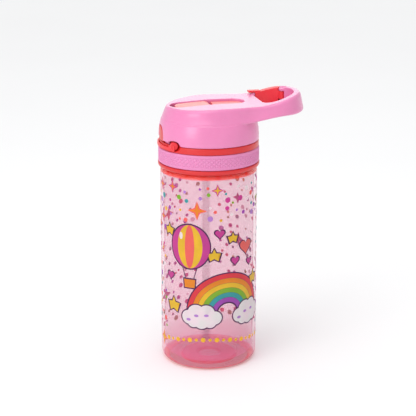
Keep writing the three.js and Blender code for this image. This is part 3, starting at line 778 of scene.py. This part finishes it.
def lock_bail():
    boss_start, boss_skin = 18.6, 0.9
    strap = common(bail_side(0), ring(35.7, 36.9, 150, 180))
    joined(strap, rod_y(BOSS_R, BAIL_PIVOT, -BOSS_END, -boss_start),
           rod_y(BOSS_R, BAIL_PIVOT, boss_start, BOSS_END))
    cut(strap, rod_y(PIN_BORE, BAIL_PIVOT, -BOSS_END + boss_skin, BOSS_END - boss_skin))
    melted(strap, SMALL_VOXEL, 3)
    place(strap, "locking_bail", RED_GATE, "bail", "cap_red", "lock_bail")


# ------------------------------------------------------------------ flip cover
def deck_z(x):
    """Height of the cover's top face, which climbs towards the end of the carry loop."""
    return 190.6 + 1.4 * smoothstep(x, -30, 5) + 6.9 * smoothstep(x, 28, 68)


def crease_z(x):
    """Height of the crease between the drum and the tapered wall."""
    return CREASE_Z + 4.4 * smoothstep(x, 18, 52)


def half_outline(centre, front, end, taper):
    """Plan points from the front tip to the end of the carry loop, at y of 0 and less."""
    (reach, half), (end_reach, end_half) = front, end
    turn = [math.pi * i / 96 for i in range(49)]
    points = [(centre - reach * math.cos(t), -half * math.sin(t)) for t in turn]
    for i in range(1, 29):
        x = centre + (LOOP_CENTRE - centre) * i / 28
        points.append((x, -half - (end_half - half) * smoothstep(x, *taper)))
    turn = [math.pi * (i - 32) / 64 for i in range(1, 33)]
    return points + [(LOOP_CENTRE + end_reach * math.cos(t), end_half * math.sin(t)) for t in turn]


def cover_ring(low, high, s):
    """The cover's outline at s of the way from the crease up to the deck."""
    half = []
    inset = 1.5 * max(0, (s - 0.72) / 0.28) ** 3.5 + 1.5 * max(0, 1 - s / 0.16) ** 2.2
    for (px, py), (qx, qy) in zip(low, high):
        hollow = 3.6 * s * (1 - s) * smoothstep(px, -34, -15) * (1 - smoothstep(px, 20, 40))
        x, y = px + (qx - px) * s, py + (qy - py) * s
        centre = Vector((min(max(x, 0), LOOP_CENTRE), 0))
        inward = (Vector((x, y)) - centre).normalized() * (hollow + inset)
        z = crease_z(px) + (deck_z(qx) - crease_z(px)) * s
        half.append((x - inward.x, y - inward.y, z))
    return half + [(x, -y, z) for x, y, z in reversed(half[1:-1])]


def upper_cover():
    low = half_outline(0, (CREASE_R, CREASE_R), LOOP_BOTTOM, (0, 30))
    high = half_outline(DECK_CENTRE, (DECK_FRONT, DECK_HALF), LOOP_TOP, (DECK_CENTRE, 36))
    levels = [0, 0.04, 0.08, 0.13, 0.2, 0.3, 0.4, 0.5, 0.6, 0.7, 0.8, 0.88, 0.94, 1]
    bm = bmesh.new()
    rings = [[bm.verts.new(p) for p in cover_ring(low, high, s)] for s in levels]
    count = len(rings[0])
    for below, above in zip(rings, rings[1:]):
        for i in range(count):
            j = (i + 1) % count
            bm.faces.new((below[i], below[j], above[j], above[i]))
    for ends in (rings[0], rings[-1]):
        for i in range(1, count // 2):
            a, b = ends[i - 1], ends[i]
            c, d = ends[(count - i) % count], ends[(count - i + 1) % count]
            bm.faces.new([a, b, c] if d is a else [a, b, c, d])
        tip = [ends[count // 2 - 1], ends[count // 2], ends[count // 2 + 1]]
        bm.faces.new(tip)
    bmesh.ops.triangulate(bm, faces=bm.faces)
    bmesh.ops.recalc_face_normals(bm, faces=bm.faces)
    return make("upper", bm)


def upright(r, low, high):
    """A rod on the gate's pivot."""
    return disc(r, low, high, 48, GATE_PIVOT)


def loop_hole():
    """The space inside the carry loop."""
    reach, half = LOOP_HOLE
    corner = 8
    turn = [math.pi * (i - 24) / 48 for i in range(49)]
    outline = [(LOOP_CENTRE + reach * math.cos(t), half * math.sin(t)) for t in turn]
    outline += [(LOOP_FRONT, half)]
    outline += arc((LOOP_FRONT + corner, -half + corner), corner, 180, 270, 12)
    return prism(outline, LOOP_LOW, 210, "xy")


def gate_zone(extra):
    """The part of the loop's far arm that swings with the gate."""
    x, y = GATE_PIVOT
    arm = box(LOOP_FRONT - 2, x - 0.9 + extra, y - 1.6, 32, LOOP_LOW, 210)
    return common(arm, disc(GATE_REACH + extra, LOOP_LOW, 210, 128, (x, y)))


def gate_lip(extra):
    """The hook at the gate's free end, which lies over the deck."""
    return box(34.2 - extra, 43, 19.7 - extra, 25.2 + extra, 193.4 - extra, 194.8)


def flip_cover():
    roof_low, roof_high, knuckle_half = 176.3, 187.8, 6.3
    drum = lathe([(0, COVER_LOW), (COVER_R, COVER_LOW), (COVER_R, 169), (COVER_R - 0.2, 172.5),
                  (COVER_R - 0.7, 176), (COVER_R - 1.3, 178.6), (CREASE_R, 180.9), (0, 180.9)])
    joined(drum, upper_cover())
    roof = lathe([(0, roof_low), (COVER_INNER, roof_low), (COVER_INNER - 1.4, 178.8),
                  (21, roof_high), (0, roof_high)])
    cut(roof, box(-34, 36, -SLOT_R - 2, SLOT_R + 2, CEILING, CEILING + 10))
    x, z = BAIL_PIVOT
    cut(drum, disc(COVER_INNER, COVER_LOW - 1, CEILING - 3, ROUND), roof,
        prism(stadium(SLOT_FRONT, SLOT_BACK, SLOT_R), SLOT_FLOOR, 205, "xy"),
        disc(5.6, CEILING - 1, SLOT_FLOOR + 1, 48, (PORT_X, 0)),
        rod_y(TRUNNION_R + 0.35, PIVOT, -NOZZLE_HALF - 2.1, NOZZLE_HALF + 2.1),
        loop_hole(), gate_zone(0.3), gate_lip(0.3), upright(2.8, LOOP_LOW, 210),
        common(ring(COVER_R - 1.5, 40, COVER_LOW - 1, COVER_LOW + 1.3),
               box(-40, -30, -30, 30, 160, 170)),
        prism(arch(COVER_LOW - 2, 0.4), -40, -28, "yz"),
        rod_y(BOSS_SEAT_R, BAIL_PIVOT, -30, -14), rod_y(BOSS_SEAT_R, BAIL_PIVOT, 14, 30),
        box(x - BOSS_SEAT_R, x + BOSS_SEAT_R, -30, 30, COVER_LOW - 1, z),
        box(28, 40, -10.5, 10.5, COVER_LOW - 1, HINGE[1] + 3.3))
    knuckle = joined(rod_y(2.8, HINGE, -knuckle_half, knuckle_half),
                     box(HINGE[0] - 2.4, 40, -knuckle_half, knuckle_half, HINGE[1], HINGE[1] + 5))
    common(knuckle, disc(COVER_R - 0.1, 160, 175, ROUND))
    foot, top = crease_z(58) + 0.2, deck_z(58) - 0.6
    y = GATE_PIVOT[1]
    joined(drum, knuckle, upright(2.4, foot, EAR_LOW - 1.9), upright(2.4, EAR_HIGH, top),
           box(57.6, 62, y - 1, y + 3, foot, EAR_LOW - 1.9),
           box(57.6, 62, y - 1, y + 3, EAR_HIGH, top))
    cut(drum, rod_y(PIN_BORE, HINGE, -12, 12), upright(GATE_BORE, foot + 1.2, top - 1.2))
    melted(drum, VOXEL, 5)
    place(drum, "cover_shell", PINK, "cover", "cover_pink", "flip_cover")


def spout_seal():
    low, high = SPOUT_TOP - 1, CEILING - 0.3
    plug, pad, step = 5.2, 8, SPOUT_TOP + 0.3
    profile = [(0, low), (plug - 0.4, low), (plug, low + 0.4), (plug, step), (pad - 0.3, step)]
    profile += [(pad, step + 0.3), (pad, high), (0, high)]
    seal = lathe(profile, 64, (SPOUT_X, 0))
    place(seal, "mouth_pad", SILICONE, "cover", "silicone_white", "spout_seal")


def nozzle_gasket():
    low, flange, high = PORT_TOP + 0.4, CEILING - 1.7, CEILING - 0.3
    bore, outer, brim, top = 2.2, 5.2, 7.4, SLOT_FLOOR + 0.1
    profile = [(bore, low), (4.9, low), (outer, low + 0.3), (outer, flange), (7.1, flange)]
    profile += [(brim, flange + 0.3), (brim, high), (outer, high), (outer, top), (bore, top)]
    sleeve = lathe(profile, 64, (PORT_X, 0))
    cut(sleeve, box(-20, PORT_X - 5.25, -10, 10, low - 1, CEILING))
    place(soften(sleeve), "port_gasket", SILICONE, "cover", "silicone_white", "nozzle_gasket")


def nozzle():
    x, z = PIVOT
    top, end, half = deck_z(NOZZLE_TIP) - 0.7, NOZZLE_TIP - 1, NOZZLE_HALF
    tip_reach, tip_half = 5.5, 7
    side = [(x, z - BARREL_R + 0.7), (x, z + BARREL_R), (end, top), (end, z - 2.2)]
    turn = [math.pi * i / 30 for i in range(31)]
    tip = [(NOZZLE_TIP + tip_reach - tip_reach * math.sin(a), tip_half * math.cos(a)) for a in turn]
    plan = [(x + 5.2, -half), (x + 5.2, half), (x - 8, half)] + tip + [(x - 8, -half)]
    bar = joined(prism(side, -9, 9, "xz"), rod_y(BARREL_R, PIVOT, -9, 9, 96))
    common(bar, prism(plan, 180, 200, "xy"))
    joined(bar, rod_y(TRUNNION_R, PIVOT, -NOZZLE_HALF - 1.7, NOZZLE_HALF + 1.7))
    cut(bar, rod_x(1.7, (0, z), NOZZLE_TIP - 2, x + 6))
    melted(bar, SMALL_VOXEL, 5)
    place(bar, "nozzle_bar", CORAL, "nozzle", "coral", "nozzle")


def nozzle_retainer():
    bar = prism(stadium(-7, SLOT_BACK - 0.4, SLOT_R - 0.4), SLOT_FLOOR + 0.3, RETAINER_TOP, "xy")
    common(bar, box(3, 30, -10, 10, SLOT_FLOOR, 200))
    melted(bar, SMALL_VOXEL, 5)
    place(bar, "retainer_bar", CORAL, "cover", "coral", "nozzle_retainer")


def handle_gate():
    arm = common(upper_cover(), gate_zone(0))
    cut(arm, loop_hole())
    joined(arm, gate_lip(0))
    cut(arm, upright(2.8, 170, EAR_LOW), upright(2.8, EAR_HIGH - 0.3, 210))
    joined(arm, upright(2.2, EAR_LOW, EAR_HIGH - 0.3))
    cut(arm, upright(GATE_BORE, 170, 210))
    melted(arm, SMALL_VOXEL, 5)
    place(arm, "gate_bar", RED_GATE, "gate", "cap_red", "handle_gate")


def gate_pin():
    low, high = crease_z(58) + 1.7, deck_z(58) - 2.1
    r, chamfer = GATE_PIN_R, 0.2
    profile = [(0, low), (0.6, low), (r, low + chamfer)]
    profile += [(r, high - chamfer), (0.6, high), (0, high)]
    place(lathe(profile, 32, GATE_PIVOT), "gate_axle", STEEL, "cover", "steel", "gate_pin")


def gate_spring():
    r, start, rise = 1.6, EAR_LOW - 1.4, 1.1
    x, y = GATE_PIVOT

    def path(t):
        angle = 4 * math.pi * t
        return (x + r * math.cos(angle), y + r * math.sin(angle), start + rise * t)
    place(wire(0.22, 64, path), "gate_coil", STEEL, "cover", "steel", "gate_spring")


bottle_body()
screw_cap()
grip_band()
neck_seal()
straw()
straw_socket()
vent_valve()
drink_spout()
button_spring()
push_button()
lock_bail()
pin_y("bail_axle_left", "bail_pin_left", "cap", PIN_R, BAIL_PIVOT, 1.2 - BOSS_END, -16.6)
pin_y("bail_axle_right", "bail_pin_right", "cap", PIN_R, BAIL_PIVOT, 16.6, BOSS_END - 1.2)
pin_y("cover_axle", "cover_hinge_pin", "cap", PIN_R, HINGE, -9.4, 9.4)
flip_cover()
spout_seal()
nozzle_gasket()
nozzle()
nozzle_retainer()
handle_gate()
gate_pin()
gate_spring()


# ------------------------------------------------------------------ print on the body
INK_BASE = BODY_R + 0.02                 # films lie on the body, each layer a little higher
LAYER = 0.03                             # from one layer to the next
FILM = 0.02                              # thickness of a film
SLICE = 2.2                              # width of the flat strips that bend round the body
OUTLINE = 0.9
RAINBOW = (14, 44, 30)                   # across, up, and outer radius
RAINBOW_COLOURS = ["red", "orange", "yellow", "lime", "teal", "violet"]
BAND_STEP = 3.6                          # from one rainbow band to the next
BAND_OVERLAP = 0.15
CLOUD_SIZE = 8.4
# across, up and radius of each lobe, in cloud sizes
CLOUD_LOBES = [(-1.15, 0, 0.62), (-0.45, 0.4, 0.78), (0.42, 0.45, 0.72), (1.15, 0.02, 0.6),
               (0, -0.28, 0.7), (-0.72, -0.34, 0.55), (0.74, -0.34, 0.55)]
BALLOON = (-14, 94, 15)                  # across, up, and half its width
# ink, layer, and width as a share of the balloon's
STRIPES = [("magenta", "fill", 1), ("yellow", "detail", 0.64), ("coral", "shine", 0.24)]
# across, up and size of each heart and star
HEARTS = [(30, 92, 6.2), (20, 83, 3.4), (34, 80, 3.0), (-31, 70, 3.4), (8, 104, 3.6)]
STARS = [(-28, 48, 6), (4, 88, 5), (40, 66, 5.4), (-32, 104, 4.6), (18, 100, 4.2)]
LARGE_HEART = 5                          # hearts above this size are coral
DOT_COUNT = 17                           # the row of dots near the base
DOT_STEP = 5
ART_ZONE = (-36, 46, 112)                # left, right and top of the main picture
SCATTER_SEED = 11
SCATTER_TRIES = 1500
SCATTER_RISE = (18, 139)                 # lowest and highest confetti
SCATTER_GAP = 1.6                        # least distance between two pieces of it
SPARKLE_SHARE = 0.2                      # the rest are dots
LEVELS = {"under": 0, "line": 1, "fill": 2, "detail": 3, "shine": 4, "gleam": 5}

INKS = {
    "line": ink("plum_line", srgb(92, 40, 96)),
    "white": ink("white", srgb(255, 250, 250), srgb(255, 240, 246)),
    "lilac": ink("lilac", srgb(206, 150, 226)),
    "red": ink("red", srgb(244, 70, 84)),
    "orange": ink("orange", srgb(250, 158, 44)),
    "yellow": ink("yellow", srgb(250, 210, 56)),
    "lime": ink("lime", srgb(150, 200, 58)),
    "teal": ink("teal", srgb(70, 178, 184)),
    "violet": ink("violet", srgb(186, 86, 200)),
    "magenta": ink("magenta", srgb(224, 72, 168)),
    "coral": ink("coral", srgb(255, 118, 112)),
    "blush": ink("blush", srgb(252, 170, 200), srgb(255, 190, 205)),
}
films = {}


def film(colour, level, outline):
    """A thin closed film of ink: an outline in distance round the body and height. Outlines
    get a pale base under them, which is what shows from behind."""
    if colour == "line":
        films.setdefault(("blush", "under"), []).append(outline)
    films.setdefault((colour, level), []).append(outline)


def wrapped(u, z, r):
    """A point of the flat picture, laid round the body at radius r."""
    angle = FACING + u / BODY_R
    return (r * math.cos(angle), r * math.sin(angle), z)


def sliced(bm, left, right):
    """Cuts the flat films into narrow upright strips, so that they can bend round the body."""
    normal = Vector((1, 0, 0))
    at = left + SLICE
    while at < right:
        geometry = list(bm.verts) + list(bm.edges) + list(bm.faces)
        bmesh.ops.bisect_plane(bm, geom=geometry, plane_co=normal * at, plane_no=normal)
        at += SLICE


def film_piece(colour, level, outlines):
    """All films of one ink on one layer, as one piece."""
    bm = bmesh.new()
    for outline in outlines:
        bm.faces.new([bm.verts.new((u, 0, z)) for u, z in outline])
    bmesh.ops.triangulate(bm, faces=bm.faces)
    across = [u for outline in outlines for u, z in outline]
    sliced(bm, min(across), max(across))
    base = INK_BASE + LAYER * LEVELS[level]
    raised = bmesh.ops.extrude_face_region(bm, geom=list(bm.faces), use_keep_orig=True)["geom"]
    raised = {v for v in raised if isinstance(v, bmesh.types.BMVert)}
    for v in bm.verts:
        v.co = wrapped(v.co.x, v.co.z, base + (FILM if v in raised else 0))
    bmesh.ops.recalc_face_normals(bm, faces=bm.faces)
    piece = make("ink", bm)
    place(piece, "print_" + colour + "_" + level, INKS[colour], "bottle", "body_clear")


def round_shape(u, z, across, up=None, points=28):
    up = up or across
    turn = [2 * math.pi * i / points for i in range(points)]
    return [(u + across * math.cos(a), z + up * math.sin(a)) for a in turn]


def star_shape(u, z, outer, inner, tips):
    found = []
    for i in range(2 * tips):
        r = outer if i % 2 == 0 else inner
        a = math.pi / 2 + math.pi * i / tips
        found.append((u + r * math.cos(a), z + r * math.sin(a)))
    return found


def heart_shape(u, z, size):
    points, found = 32, []
    for i in range(points):
        t = 2 * math.pi * i / points
        across = 16 * math.sin(t) ** 3
        up = 13 * math.cos(t) - 5 * math.cos(2 * t) - 2 * math.cos(3 * t) - math.cos(4 * t)
        found.append((u + across * size / 17, z + up * size / 17))
    return found


def arch_band(u, z, outer, inner):
    """Half a ring, open at the bottom."""
    turn = [math.pi * i / 40 for i in range(41)]
    over = [(u + outer * math.cos(a), z + outer * math.sin(a)) for a in turn]
    under = [(u + inner * math.cos(a), z + inner * math.sin(a)) for a in reversed(turn)]
    return over + under


def cloud(u, z):
    """Overlapping lobes with an outline, and a soft shadow in three of them."""
    size = CLOUD_SIZE
    for du, dz, r in CLOUD_LOBES:
        spot = (u + du * size, z + dz * size)
        film("line", "detail", round_shape(*spot, r * size + OUTLINE))
        film("white", "shine", round_shape(*spot, r * size))
    for du, dz, r in CLOUD_LOBES[:3]:
        spot = (u + du * size, z + (dz - 0.22) * size)
        film("lilac", "gleam", round_shape(*spot, 0.2 * size, 0.12 * size))


def rainbow():
    u, z, outer = RAINBOW
    inner = outer - BAND_STEP * len(RAINBOW_COLOURS)
    film("line", "line", arch_band(u, z, outer + OUTLINE, inner - OUTLINE))
    for k, colour in enumerate(RAINBOW_COLOURS):
        edge = outer - BAND_STEP * (k + 1) + BAND_OVERLAP
        film(colour, "fill", arch_band(u, z, outer - BAND_STEP * k, edge))
    middle, drop = (outer + inner) / 2, 3
    cloud(u - middle, z - drop)
    cloud(u + middle, z - drop)


def basket(foot, rim, low, high):
    """The balloon's basket, wider at the rim, by half widths and heights."""
    u = BALLOON[0]
    return [(u - foot, low), (u + foot, low), (u + rim, high), (u - rim, high)]


def balloon():
    u, z, r = BALLOON
    rope = 0.35
    film("line", "line", round_shape(u, z, r + OUTLINE, 1.08 * r + OUTLINE, 60))
    for colour, level, width in STRIPES:
        film(colour, level, round_shape(u, z, width * r, 1.07 * r, 60))
    for side in (-1, 1):
        (x0, z0), (x1, z1) = (u + side * 6, z - r + 0.8), (u + side * 3, z - 1.62 * r)
        film("line", "line", [(x0 - rope, z0), (x1 - rope, z1), (x1 + rope, z1), (x0 + rope, z0)])
    film("line", "line", basket(4.6, 5.2, z - 2.1 * r, z - 1.56 * r))
    film("orange", "fill", basket(3.8, 4.3, z - 2.04 * r, z - 1.63 * r))
    film("white", "gleam", round_shape(u - 0.45 * r, z + 0.5 * r, 1.4, 2.6))


def sparkle(u, z, size, colour, ground):
    film(ground, "line", star_shape(u, z, size + 1.2, 0.34 * size + 0.8, 4))
    film(colour, "fill", star_shape(u, z, size, 0.28 * size, 4))


def picture():
    """The main picture, and the row of dots below it."""
    rainbow()
    balloon()
    for u, z, size in HEARTS:
        film("line", "line", heart_shape(u, z, size + 1.1))
        film("coral" if size > LARGE_HEART else "magenta", "fill", heart_shape(u, z, size))
    for u, z, size in STARS:
        film("line", "line", star_shape(u, z, size + 1.4, 0.5 * size + 0.9, 5))
        film("yellow", "fill", star_shape(u, z, size, 0.46 * size, 5))
    for k in range(DOT_COUNT):
        u = -34 + DOT_STEP * k
        z = 22 + 2.2 * math.cos(u / 15)
        film("yellow", "detail", round_shape(u, z, 1.15 if k % 2 else 1.7))


def scatter():
    """Confetti of dots and sparkles all round the body, kept off the main picture."""
    chance = random.Random(SCATTER_SEED)
    colours = ["lime", "teal", "magenta", "violet", "yellow", "white", "coral", "lilac"]
    taken = []
    left, right, top = ART_ZONE
    half = math.pi * BODY_R
    for _ in range(SCATTER_TRIES):
        u, z = chance.uniform(-half + 8, half - 8), chance.uniform(*SCATTER_RISE)
        big = chance.random() < SPARKLE_SHARE
        size = chance.uniform(3, 6.4) if big else chance.uniform(0.8, 2.1)
        inside = left - size < u < right + size and z < top + size
        if inside or any(math.hypot(u - a, z - b) < size + c + SCATTER_GAP for a, b, c in taken):
            continue
        taken.append((u, z, size))
        if big:
            colour = chance.choice(["orange", "yellow"])
            sparkle(u, z, size, colour, chance.choice(["coral", "magenta"]))
        else:
            film(chance.choice(colours), "fill", round_shape(u, z, size, points=16))


picture()
scatter()
for (shade_name, level_name), shapes in films.items():
    film_piece(shade_name, level_name, shapes)
